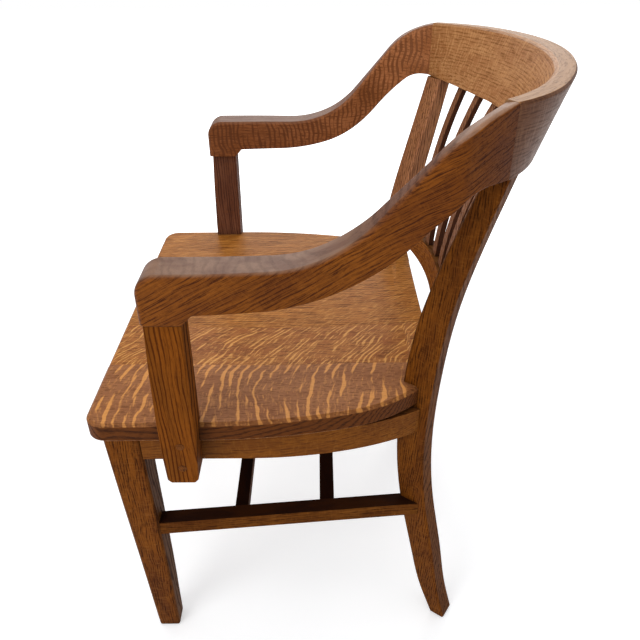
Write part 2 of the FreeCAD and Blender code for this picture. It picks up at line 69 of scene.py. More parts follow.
def add_node(tree: Tree, kind: str, inputs: dict | list | tuple = (), **settings: object) -> bpy.types.Node:
    """Add a node with its settings and links.

    Args:
        tree: node tree that gets the node.
        kind: kind of shader node, such as "Math".
        inputs: values, sockets or nodes, in order or by name or number. A node gives its first output.
        settings: properties of the node.

    Returns:
        The new node.
    """
    node = tree.nodes.new("ShaderNode" + kind)
    for name, value in settings.items():
        setattr(node, name, value)
    for key, value in inputs.items() if isinstance(inputs, dict) else enumerate(inputs):
        if isinstance(value, bpy.types.Node):
            value = value.outputs[0]
        if isinstance(value, Socket):
            tree.links.new(value, node.inputs[key])
        else:
            node.inputs[key].default_value = value
    return node


class Run(Enum):
    """How the grain of a piece lies in the chair."""

    FORE_AFT = "along Y, face up"
    ACROSS = "along X, face up"
    UPRIGHT = "along Z, face to the side"
    ROUND = "along the bend of the back"
    RISING = "slanting up to the back, as an arm is sawn"


@dataclass(frozen=True)
class OakFigure:
    """Measures of oak's figure that all pieces share.

    Sizes are millimetres along the grain, across it and into the plank.
    Levels are the values of a noise where a mark begins and where it is full.

    Attributes:
        noise_rough: how much fine detail adds to every noise.
        wander: size of the bends that the grain makes.
        wander_reach: how far these bends carry it.
        swell: length and width over which a ring grows thick and thin.
        swell_depths: depth of a swelling, in depths of a pore.
        ring_levels: levels of a year's ring.
        vessel_levels: levels of open pores, wide and hair-thin.
        gap_levels: levels of the gaps that break a ring into dashes.
        edge_line: how whole the rings stay on the edges of the plank.
        pore_shares: shares of the pores that show on all faces, and on quarter-sawn ones alone.
        hair: size of a hair-thin pore.
        filled: how far rubbing fills the pores of a worn face.
        deepest: darkest that pores may get.
        ray_lean: size of the areas in which the rays lean one way.
        ray_width: width of a ribbon of rays, in pitches.
        ray_depth: depth of a ribbon.
        ray_gain: how strongly noise breaks the ribbons.
        ray_rise: height of a wave over which a ribbon becomes full.
        ray_cover: how far a ray hides the pores.
        small_ray: size of a small fleck.
        small_ray_levels: levels of the small flecks.
        cloud: size of a cloud of darker wood.
        cloud_levels: levels of the clouds.
        top_patch: size of a patch of wear and painted top light on upward faces.
        top_patch_levels: levels of those patches.
        top_patch_shares: wear and painted top light that come and go, and those that are everywhere.
    """

    noise_rough: float = 0.6
    wander: Point = (130.0, 48.0, 48.0)
    wander_reach: Point = (16.0, 12.0, 6.0)
    swell: Pair = (170.0, 12.0)
    swell_depths: float = 5.0
    ring_levels: Pair = (0.0, 0.95)
    vessel_levels: Pair = (0.5, 0.66)
    gap_levels: Pair = (0.34, 0.56)
    edge_line: float = 0.8
    pore_shares: Pair = (0.3, 0.7)
    # Summer wood's pores are thinner than a hair, so they are drawn 1 mm wide to show.
    hair: Point = (11.0, 1.1, 1.6)
    filled: float = 0.85
    deepest: float = 0.92
    ray_lean: Point = (110.0, 80.0, 30.0)
    ray_width: float = 0.8
    ray_depth: float = 14.0
    ray_gain: float = 1.9
    ray_rise: float = 0.2
    ray_cover: float = 0.75
    small_ray: Point = (2.6, 13.0, 8.0)
    small_ray_levels: Pair = (0.53, 0.68)
    cloud: Point = (90.0, 26.0, 26.0)
    cloud_levels: Pair = (0.3, 0.7)
    top_patch: Point = (70.0, 22.0, 22.0)
    top_patch_levels: Pair = (0.38, 0.62)
    top_patch_shares: Pair = (0.6, 0.4)


@dataclass(frozen=True)
class Varnish:
    """Thin old varnish that has aged golden brown, and the painted shade that darkens corners of the chair.

    Attributes:
        ior: refraction of the varnish.
        coat_roughness: roughness of its polished top.
        upward: levels of a normal's rise at which a face counts as looking up.
        pore_rough: roughness that open pores add.
        ray_smooth: roughness that hard, smooth rays take away.
        bump: strength of the relief of the pores.
        bump_depth: depth of a pore in metres.
        corner: distance in metres over which a corner is darkened with painted shade.
        corner_levels: openness at which the painted shade begins and is full.
        corner_samples: rays that measure the openness.
        corner_shade_colour: colour of the painted shade in corners.
        warmth: powers of a dark tone's green and blue, which make it redder.
    """

    ior: float = 1.5
    coat_roughness: float = 0.32
    upward: Pair = (0.5, 0.97)
    pore_rough: float = 0.2
    ray_smooth: float = 0.1
    bump: float = 0.3
    bump_depth: float = 0.0003
    corner: float = 0.022
    corner_levels: Pair = (0.9, 0.35)
    corner_samples: int = 6
    # Colour of the painted shade that darkens corners where little light reaches.
    corner_shade_colour: str = "1a0a03"
    warmth: Pair = (1.25, 1.5)


FIGURE = OakFigure()
VARNISH = Varnish()


@dataclass(frozen=True)
class OakFinish:
    """Old varnished oak, sawn on the quarter.

    Growth rings and open pores run with the grain as dark lines. Rays cut at
    a low angle show as flecks and ribbons across it, only on the faces that
    lie along them. All lengths are millimetres of real oak figure.

    Attributes:
        name: name of the material.
        ground: colour of the wood between its lines.
        shade: colour that the ground drifts to in clouds.
        fleck: colour of the rays.
        pore: colour of the pores on a quarter-sawn face.
        pit: colour of the pores on the edges of the plank.
        top_wear_and_light: colour of faces that look up, for rubbed wear together with painted top light and
            sheen, and on the stretchers painted shade.
        edge: colour of the edges of the plank.
        top_wear_and_light_share: how much of an upward face takes that colour.
        ring_pitch: distance from one year's ring to the next.
        waver: how far the rings swell aside, in radians of their wave.
        ring_share: strength of the rings.
        cathedral: strength that the rings gain on the edges of the plank, or lose if below 0.
        pore_share: strength of the open pores.
        pore_length: length of a pore along the grain.
        pore_width: width of a pore.
        pore_depth: depth of a pore into the plank.
        ring_tilt: how far the rings lean into the plank.
        hair_share: strength of the hair-thin pores.
        fleck_pitch: distance from one ribbon of rays to the next.
        fleck_reach: length of a ribbon across the grain.
        fleck_share: strength of the ribbons.
        fleck_level: height of a wave at which a ribbon begins.
        fleck_order: how regular the ribbons are, from 0 to 1.
        mottle: strength of the small flecks.
        drift: turns by which the ribbons lean aside.
        roughness: roughness of the varnish between pores.
        specular: level of its reflection.
        polish: weight of a coat on faces that look up.
        lacquer: weight of a coat on every face.
        corner_dark: strength of the painted shade in corners.
        loose: True for a CAD node, which has no attributes of its own.
    """

    name: str
    ground: str = "6f3c12"
    shade: str = "55290a"
    fleck: str = "9a5c22"
    pore: str = "220d02"
    pit: str = "301404"
    # Upward faces take a colour that stands for rubbed wear and for painted light from above.
    top_wear_and_light: str = "8a6a50"
    edge: str = "55290a"
    top_wear_and_light_share: float = 0.3
    ring_pitch: float = 4.5
    waver: float = 9.0
    ring_share: float = 0.5
    cathedral: float = 0.4
    pore_share: float = 0.5
    pore_length: float = 24.0
    # Real pores are 0.3 mm wide, too fine for the render, so they are drawn as wide as they need to show.
    pore_width: float = 2.4
    pore_depth: float = 2.4
    ring_tilt: float = 2.2
    hair_share: float = 0.4
    fleck_pitch: float = 9.0
    fleck_reach: float = 34.0
    fleck_share: float = 0.3
    fleck_level: float = 0.12
    fleck_order: float = 0.0
    mottle: float = 0.25
    drift: float = 1.6
    roughness: float = 0.56
    specular: float = 0.1
    polish: float = 0.0
    lacquer: float = 0.0
    corner_dark: float = 0.45
    loose: bool = False

    def placing(self, tree: Tree) -> Marks:
        """Read where in its plank each point lies and how its face is turned.

        Args:
            tree: node tree of the material.

        Returns:
            The place "grain", the tone "tint", the share of a quarter-sawn face "facing" and the share "up".
        """
        if self.loose:
            place = add_node(tree, "TexCoord").outputs["Object"]
            grain = add_node(tree, "VectorMath", [place, [1 / MM] * 3], operation="MULTIPLY").outputs[0]
            even = add_node(tree, "Value").outputs[0]
            even.default_value = 1.0
            marks = {"grain": grain, "tint": even, "facing": even}
        else:
            marks = {name: add_node(tree, "Attribute", attribute_name=name).outputs[output]
                     for name, output in (("grain", "Vector"), ("tint", "Fac"), ("facing", "Fac"))}
        normal = add_node(tree, "TexCoord").outputs["Normal"]
        rise = add_node(tree, "SeparateXYZ", [normal]).outputs[2]
        marks["up"] = add_node(tree, "MapRange", [rise, *VARNISH.upward],
                               interpolation_type="SMOOTHSTEP").outputs[0]
        return marks

    def wandering(self, tree: Tree, grain: Socket) -> Socket:
        """Bend the grain by a few millimetres, as no tree grew straight.

        Args:
            tree: node tree of the material.
            grain: place in the plank.

        Returns:
            The place along the bent fibres.
        """
        spread = add_node(tree, "VectorMath", [grain, [1 / v for v in FIGURE.wander]], operation="MULTIPLY")
        bends = add_node(tree, "TexNoise", {"Vector": spread, "Scale": 1.0, "Detail": 2.0,
                                            "Roughness": FIGURE.noise_rough}).outputs["Color"]
        offset = add_node(tree, "VectorMath", [bends, (0.5, 0.5, 0.5)], operation="SUBTRACT")
        offset = add_node(tree, "VectorMath", [offset, FIGURE.wander_reach], operation="MULTIPLY")
        return add_node(tree, "VectorMath", [grain, offset], operation="ADD").outputs[0]

    def layers(self, tree: Tree, grain: Socket, fibre: Socket) -> Marks:
        """Spread noise through the plank, one layer for each kind of mark.

        Args:
            tree: node tree of the material.
            grain: place in the plank.
            fibre: place along the bent fibres.

        Returns:
            The layers by name, where those with levels run from 0 to the strength of their mark.
        """
        # Place, size and detail of each noise.
        noises = {
            "swell": (fibre, (*FIGURE.swell, FIGURE.swell_depths * self.pore_depth), 1.0),
            "dash": (fibre, (self.pore_length, self.pore_width, self.pore_depth), 3.0),
            "hair": (fibre, FIGURE.hair, 2.0),
            "lean": (grain, FIGURE.ray_lean, 1.0),
            "patch": (fibre, (self.fleck_pitch * FIGURE.ray_width, self.fleck_reach, FIGURE.ray_depth), 2.5),
            "small": (fibre, FIGURE.small_ray, 2.0),
            "cloud": (grain, FIGURE.cloud, 2.0),
            "top_patch": (grain, FIGURE.top_patch, 2.0),
        }
        marks = {}
        for name, (place, size, detail) in noises.items():
            spread = add_node(tree, "VectorMath", [place, [1 / v for v in size]], operation="MULTIPLY")
            noise = add_node(tree, "TexNoise", {"Vector": spread, "Scale": 1.0, "Detail": detail,
                                                "Roughness": FIGURE.noise_rough})
            marks[name] = noise.outputs["Fac"]
        # Noise, levels and strength of each mark.
        steps = {
            "vessel": ("dash", FIGURE.vessel_levels, 1.0),
            "unbroken": ("dash", FIGURE.gap_levels, 1.0),
            "hair": ("hair", FIGURE.vessel_levels, self.hair_share),
            "small": ("small", FIGURE.small_ray_levels, self.mottle),
            "cloud": ("cloud", FIGURE.cloud_levels, 1.0),
            "top_patch": ("top_patch", FIGURE.top_patch_levels, 1.0),
        }
        for name, (layer, levels, top) in steps.items():
            marks[name] = add_node(tree, "MapRange", [marks[layer], *levels, 0.0, top],
                                   interpolation_type="SMOOTHSTEP").outputs[0]
        return marks

    def pores(self, tree: Tree, marks: Marks) -> Socket:
        """Draw a band of open pores each year, broken along its length.

        Args:
            tree: node tree of the material.
            marks: layers and places of the material.

        Returns:
            How dark the pores make each point.
        """
        facing = marks["facing"]
        axes = add_node(tree, "SeparateXYZ", [marks["fibre"]]).outputs
        turn = add_node(tree, "Math", [axes[1], 2 * math.pi / self.ring_pitch], operation="MULTIPLY")
        for aside, share in ((axes[2], self.ring_tilt / self.ring_pitch), (marks["swell"], self.waver)):
            turn = add_node(tree, "Math", [aside, share, turn], operation="MULTIPLY_ADD")
        wave = add_node(tree, "Math", [turn], operation="SINE")
        ring = add_node(tree, "MapRange", [wave, *FIGURE.ring_levels], interpolation_type="SMOOTHSTEP")
        # On the edges of the plank a ring stays nearly whole, and on its face it breaks into dashes.
        whole = add_node(tree, "Math", [facing, -FIGURE.edge_line, FIGURE.edge_line],
                         operation="MULTIPLY_ADD")
        whole = add_node(tree, "Math", [marks["unbroken"], whole], operation="MAXIMUM")
        ring = add_node(tree, "Math", [ring, whole], operation="MULTIPLY")
        share = add_node(tree, "Math", [facing, -self.cathedral, self.ring_share + self.cathedral],
                         operation="MULTIPLY_ADD")
        ring = add_node(tree, "Math", [ring, share], operation="MULTIPLY")
        everywhere, quartered = (part * self.pore_share for part in FIGURE.pore_shares)
        share = add_node(tree, "Math", [facing, quartered, everywhere], operation="MULTIPLY_ADD")
        dark = add_node(tree, "Math", [marks["vessel"], share, ring], operation="MULTIPLY_ADD")
        dark = add_node(tree, "Math", [dark, marks["hair"]], operation="ADD")
        dark = add_node(tree, "Math", [dark, FIGURE.deepest], operation="MINIMUM")
        # Rubbing has filled the pores of faces that look up.
        open_share = add_node(tree, "Math", [marks["up"], -FIGURE.filled * self.top_wear_and_light_share, 1.0],
                              operation="MULTIPLY_ADD")
        return add_node(tree, "Math", [dark, open_share], operation="MULTIPLY").outputs[0]

    def rays(self, tree: Tree, marks: Marks) -> Socket:
        """Draw ribbons across the grain that lean, fork and fade.

        Args:
            tree: node tree of the material.
            marks: layers and places of the material.

        Returns:
            How strongly a ray shows at each point.
        """
        along = add_node(tree, "SeparateXYZ", [marks["fibre"]]).outputs[0]
        turn = add_node(tree, "Math", [along, 2 * math.pi / self.fleck_pitch], operation="MULTIPLY")
        turn = add_node(tree, "Math", [marks["lean"], 4 * math.pi * self.drift, turn],
                        operation="MULTIPLY_ADD")
        wave = add_node(tree, "Math", [turn], operation="SINE")
        wave = add_node(tree, "Math", [wave, 0.5 * self.fleck_order], operation="MULTIPLY")
        patch = add_node(tree, "Math", [marks["patch"], 0.5], operation="SUBTRACT")
        ribbon = add_node(tree, "Math", [patch, FIGURE.ray_gain, wave], operation="MULTIPLY_ADD")
        levels = self.fleck_level, self.fleck_level + FIGURE.ray_rise
        ribbon = add_node(tree, "MapRange", [ribbon, *levels, 0.0, self.fleck_share],
                          interpolation_type="SMOOTHSTEP")
        ribbon = add_node(tree, "Math", [ribbon, marks["small"]], operation="MAXIMUM")
        return add_node(tree, "Math", [ribbon, marks["facing"]], operation="MULTIPLY").outputs[0]

    def colours(self, tree: Tree, marks: Marks) -> Socket:
        """Lay the colours of wood, wear with painted top light, rays, pores and painted corner shade over
        each other.

        Args:
            tree: node tree of the material.
            marks: layers, places, rays and pores of the material.

        Returns:
            The colour of the piece.
        """
        facing, tint = marks["facing"], marks["tint"]
        wood = add_node(tree, "Mix", {0: marks["cloud"], 6: linear(self.ground), 7: linear(self.shade)},
                        data_type="RGBA").outputs[2]
        # The edges of the plank differ from its quarter-sawn face in their wood and their pores.
        colour, pore = (
            add_node(tree, "Mix", {0: facing, 6: linear(edge), 7: face}, data_type="RGBA").outputs[2]
            for edge, face in ((self.edge, wood), (self.pit, linear(self.pore))))
        # Faces that look up take the colour of rubbed wear and painted top light, in patches.
        patchy, even = (part * self.top_wear_and_light_share for part in FIGURE.top_patch_shares)
        top_wear_and_light = add_node(tree, "Math", [marks["top_patch"], patchy, even], operation="MULTIPLY_ADD")
        top_wear_and_light = add_node(tree, "Math", [marks["up"], top_wear_and_light], operation="MULTIPLY")
        # Painted shade: corners that little light reaches are darkened towards a near black brown.
        air = add_node(tree, "AmbientOcclusion", {"Distance": VARNISH.corner},
                       samples=VARNISH.corner_samples, only_local=False).outputs["AO"]
        corner_shade_mask = add_node(tree, "MapRange", [air, *VARNISH.corner_levels, 0.0, self.corner_dark],
                        interpolation_type="SMOOTHSTEP")
        for share, over in ((top_wear_and_light, linear(self.top_wear_and_light)), (marks["rays"], linear(self.fleck)),
                            (marks["pores"], pore), (corner_shade_mask, linear(VARNISH.corner_shade_colour))):
            colour = add_node(tree, "Mix", {0: share, 6: colour, 7: over}, data_type="RGBA").outputs[2]
        green, blue = (add_node(tree, "Math", [tint, power], operation="POWER")
                       for power in VARNISH.warmth)
        tone = add_node(tree, "CombineXYZ", [tint, green, blue])
        return add_node(tree, "Mix", {0: 1.0, 6: colour, 7: tone}, data_type="RGBA",
                        blend_type="MULTIPLY").outputs[2]

    def build(self) -> bpy.types.Material:
        """Make the material, or give the one already made.

        Returns:
            The material.
        """
        if self.name in bpy.data.materials:
            return bpy.data.materials[self.name]
        material = bpy.data.materials.new(self.name)
        material.use_nodes = True
        tree = material.node_tree
        tree.nodes.clear()
        marks = self.placing(tree)
        marks["fibre"] = self.wandering(tree, marks["grain"])
        marks |= self.layers(tree, marks["grain"], marks["fibre"])
        marks["rays"] = self.rays(tree, marks)
        relief = self.pores(tree, marks)
        hidden = add_node(tree, "Math", [marks["rays"], -FIGURE.ray_cover, 1.0], operation="MULTIPLY_ADD")
        marks["pores"] = add_node(tree, "Math", [relief, hidden], operation="MULTIPLY").outputs[0]
        rough = self.roughness
        for name, share in (("pores", VARNISH.pore_rough), ("rays", -VARNISH.ray_smooth)):
            rough = add_node(tree, "Math", [marks[name], share, rough], operation="MULTIPLY_ADD")
        bump = add_node(tree, "Bump", {"Height": relief, "Strength": VARNISH.bump,
                                       "Distance": VARNISH.bump_depth}, invert=True)
        # Hands polish only what looks up, and lacquer lies evenly.
        coat = self.lacquer
        if self.polish:
            coat = add_node(tree, "Math", [marks["up"], self.polish, coat], operation="MULTIPLY_ADD")
        shader = add_node(tree, "BsdfPrincipled", {
            "Base Color": self.colours(tree, marks), "Roughness": rough, "Normal": bump, "IOR": VARNISH.ior,
            "Specular IOR Level": self.specular, "Coat Weight": coat, "Coat IOR": VARNISH.ior,
            "Coat Roughness": VARNISH.coat_roughness})
        add_node(tree, "OutputMaterial", [shader])
        return material


@dataclass(frozen=True)
class SteelFinish:
    """Drawn steel of a wood screw: a dull grey metal whose turning marks spread its shine.

    Attributes:
        name: name of the material.
        bright: colour of the metal.
        dull: colour of its marks.
        roughness: middle roughness.
        uneven: how far the marks change it.
        marks: marks in a metre.
    """

    name: str = "screw_steel"
    bright: str = "8c8a86"
    dull: str = "6a6762"
    roughness: float = 0.42
    uneven: float = 0.12
    # Turning marks are finer than a pixel, so they are drawn 0.7 mm wide.
    marks: float = 1400.0

    def build(self) -> bpy.types.Material:
        """Make the material.

        Returns:
            The material.
        """
        material = bpy.data.materials.new(self.name)
        material.use_nodes = True
        tree = material.node_tree
        tree.nodes.clear()
        place = add_node(tree, "TexCoord").outputs["Object"]
        marks = add_node(tree, "TexNoise", {"Vector": place, "Scale": self.marks, "Detail": 2.0})
        rough = add_node(tree, "MapRange", {
            "Value": marks, "To Min": self.roughness - self.uneven, "To Max": self.roughness + self.uneven})
        tone = add_node(tree, "Mix", {0: marks, 6: linear(self.bright), 7: linear(self.dull)},
                        data_type="RGBA").outputs[2]
        shader = add_node(tree, "BsdfPrincipled", {"Base Color": tone, "Metallic": 1.0, "Roughness": rough})
        add_node(tree, "OutputMaterial", [shader])
        return material


# Quarter-sawn seat board, cut right along the rays: broad tan ribbons that stand out against brown.
SEAT_BOLD = OakFinish(
    "seat_oak_bold_fleck", ground="945e36", shade="824d28", fleck="d18d46", pore="603616", top_wear_and_light="9a6842",
    edge="623208", top_wear_and_light_share=0.2, ring_pitch=3.4, ring_share=0.25, pore_share=0.7, pore_length=9.0,
    fleck_pitch=13.0, fleck_reach=60.0, fleck_share=0.9, fleck_level=0.2, fleck_order=0.7, mottle=0.35,
    drift=1.3, polish=0.1)
# Quarter-sawn seat board, cut a little off the rays: thin ribbons that sweep and fork.
SEAT_WAVY = OakFinish(
    "seat_oak_wavy_fleck", ground="a06026", shade="8a4a16", fleck="d4964a", pore="4c2406", top_wear_and_light="9a6836",
    edge="623208", top_wear_and_light_share=0.2, ring_pitch=3.0, ring_share=0.3, pore_share=0.7, pore_length=20.0,
    fleck_pitch=8.0, fleck_share=0.8, fleck_level=0.14, fleck_order=0.5, mottle=0.5, drift=2.4, polish=0.1)
# Rift-sawn seat board: long dark lines on a golden ground, and hardly a ribbon.
SEAT_FINE = OakFinish(
    "seat_oak_fine_figure", ground="b06e2a", shade="9a5a18", fleck="d29448", pore="4a2204", top_wear_and_light="9c6834",
    edge="623208", top_wear_and_light_share=0.2, ring_pitch=5.0, ring_share=0.75, pore_share=0.8, pore_length=38.0,
    pore_width=1.8, fleck_pitch=5.0, fleck_reach=16.0, fleck_share=0.4, mottle=0.5, hair_share=0.5,
    polish=0.1)
# Near arm, sawn slanting: dark dashes down its side, and a smooth top where hands lie, greyed by wear and by
# a painted sheen.
ARM_OAK = OakFinish(
    "arm_oak", ground="8a4c10", shade="6f390a", fleck="9c5c1e", pore="3c1702", top_wear_and_light="84624a", edge="52280e",
    top_wear_and_light_share=0.75, ring_pitch=5.2, waver=12.0, ring_share=0.45, cathedral=0.1, pore_share=0.7,
    pore_length=34.0, pore_width=1.4, pore_depth=14.0, ring_tilt=0.5, fleck_share=0.15, mottle=0.2,
    hair_share=0.5, roughness=0.48, polish=0.14)
# Far arm, sawn with the rays: dark stripes across a redder ground.
ZEBRA_OAK = OakFinish(
    "arm_oak_zebra", ground="905630", shade="7c4622", fleck="5a3016", pore="4c260e", top_wear_and_light="7a5a44",
    edge="5a3018", top_wear_and_light_share=0.6, ring_pitch=5.0, ring_share=0.3, cathedral=0.1, pore_share=0.4,
    pore_length=14.0, fleck_share=0.85, fleck_pitch=7.5, fleck_reach=40.0, fleck_level=0.02, fleck_order=0.7,
    mottle=0.0, drift=1.8, roughness=0.5, polish=0.08)
# Arm post of straight oak: even lines from end to end.
POST_OAK = OakFinish(
    "arm_post_oak", ground="86480d", shade="75400c", fleck="8a4d18", pore="4a2003", top_wear_and_light="8a6a4a",
    edge="7c430f", ring_pitch=4.8, waver=3.0, ring_share=0.9, pore_share=0.3, pore_length=120.0,
    fleck_share=0.1, mottle=0.1, specular=0.05)
# Far arm post: the same lines in a dull red brown, darkened as painted shade.
SHADED_POST_OAK = replace(POST_OAK, name="arm_post_oak_shaded", ground="754a34", shade="633b28", pore="40231a",
                       edge="6e4430", ring_pitch=4.2)
# Plain-sawn oak of legs and back posts: short dark pores all over, which speckle the brown.
FRAME_OAK = OakFinish(
    "frame_oak", ground="80460e", shade="623108", fleck="8f5720", pore="2c1102", top_wear_and_light="6a4424", edge="5c3613",
    ring_pitch=3.4, waver=7.0, pore_share=0.6, pore_length=26.0, pore_width=1.7, fleck_share=0.2,
    fleck_pitch=7.0, fleck_reach=14.0, mottle=0.35, specular=0.05)
# Far back post: the same speckles on a pale, rosy ground.
FAR_BACK_OAK = replace(FRAME_OAK, name="frame_oak_pale", ground="b07650", shade="986040", pore="442618")
# Lower back rail: the same speckles on golden brown.
RAIL_OAK = replace(FRAME_OAK, name="back_rail_oak", ground="985818", shade="80460e", pore="44200a")
# Rift-sawn apron rail: a calm golden brown with small flecks.
APRON_OAK = OakFinish(
    "apron_oak", ground="844b0e", shade="733e09", fleck="955c1c", pore="4c2506", top_wear_and_light="6a4424", edge="6e3c12",
    ring_pitch=4.0, ring_share=0.35, pore_share=0.45, pore_length=22.0, fleck_pitch=6.0, fleck_reach=18.0)
# Stretcher: brown sides and a nearly black top, which is painted shadow of the seat above together with wax
# and dirt that shoes have rubbed in.
DARK_OAK = OakFinish(
    "stretcher_oak", ground="7a4716", shade="5c300c", fleck="8a5520", pore="341604", top_wear_and_light="22100a",
    edge="3a1d0a", top_wear_and_light_share=0.9, pore_length=34.0, fleck_share=0.2, specular=0.03)
# Steam-bent crest rail: faded tan with a fine net of lines and flecks, glossier than the rest.
CREST_OAK = OakFinish(
    "crest_oak", ground="a87344", shade="965f32", fleck="c08b56", pore="764619", top_wear_and_light="947050", edge="9a7048",
    top_wear_and_light_share=0.2, ring_pitch=4.4, waver=4.0, ring_share=0.6, cathedral=-0.45, pore_share=0.6,
    pore_width=1.5, fleck_pitch=4.6, fleck_reach=24.0, fleck_share=0.5, fleck_level=0.08, fleck_order=0.35,
    mottle=0.5, drift=0.7, roughness=0.5, lacquer=0.13)
# Bent slat: dark sides that are painted shade from its neighbours, and lighter front edges.
SHADED_SLAT_OAK = OakFinish(
    "slat_oak_painted_shade", ground="4c2812", shade="3e1e0c", fleck="5a3218", pore="261006", top_wear_and_light="6b4a30", edge="8a5a3a",
    pit="54301a", ring_pitch=3.6, ring_share=0.45, fleck_share=0.25)
# Turned plug: close lines in the colour of the post, so that it hardly shows.
PLUG_OAK = OakFinish(
    "plug_oak", ground="7c430f", shade="6e3b0c", fleck="7c4a1e", pore="2a1306", top_wear_and_light="6b3a14", edge="6f3c0e",
    ring_pitch=2.4, ring_share=0.4, pore_share=0.4, pore_length=5.0, fleck_share=0.1, loose=True)


@dataclass(frozen=True)
class Bench:
    """Measures for cleaning, rounding and marking each solid.

    Attributes:
        plank_step: mm in the pattern from one plank to the next, so that no two match.
        bend_radius: mm of the crest's bend.
        bend_lean: lean of the back for each mm of height.
        bend_level: height in mm at which the bend is measured.
        sweep_from: X in mm from which the grain of the seat sweeps back.
        sweep_unit: mm from there in which it sweeps back by the piece's sweep.
        outward: least outward turn of a normal on the back's outside.
        rim_up: least rise of a normal on the rim of an arm.
        rim_highlight: how much paler the rim gets towards the crest, as a painted highlight.
        crest_shade_length: metres over which an arm's painted shade and glare grow to full.
        merge: metres within which corners are one.
        flat: degrees within which faces are one.
        arris: degrees past which an edge is an arris.
        smooth: degrees past which shading stays sharp.
        facets: facets of a rounded arris.
        flat_weight: weight of large faces in the shading.
    """

    plank_step: Point = (611.0, 277.0, 139.0)
    bend_radius: float = 235.0
    bend_lean: float = 0.35
    bend_level: float = 740.0
    sweep_from: float = 230.0
    sweep_unit: float = 100.0
    outward: float = 0.55
    rim_up: float = 0.6
    rim_highlight: float = 0.35
    crest_shade_length: float = 0.14
    merge: float = 2e-6
    flat: float = 0.03
    arris: float = 24.0
    smooth: float = 40.0
    facets: int = 2
    flat_weight: int = 60


BENCH = Bench()


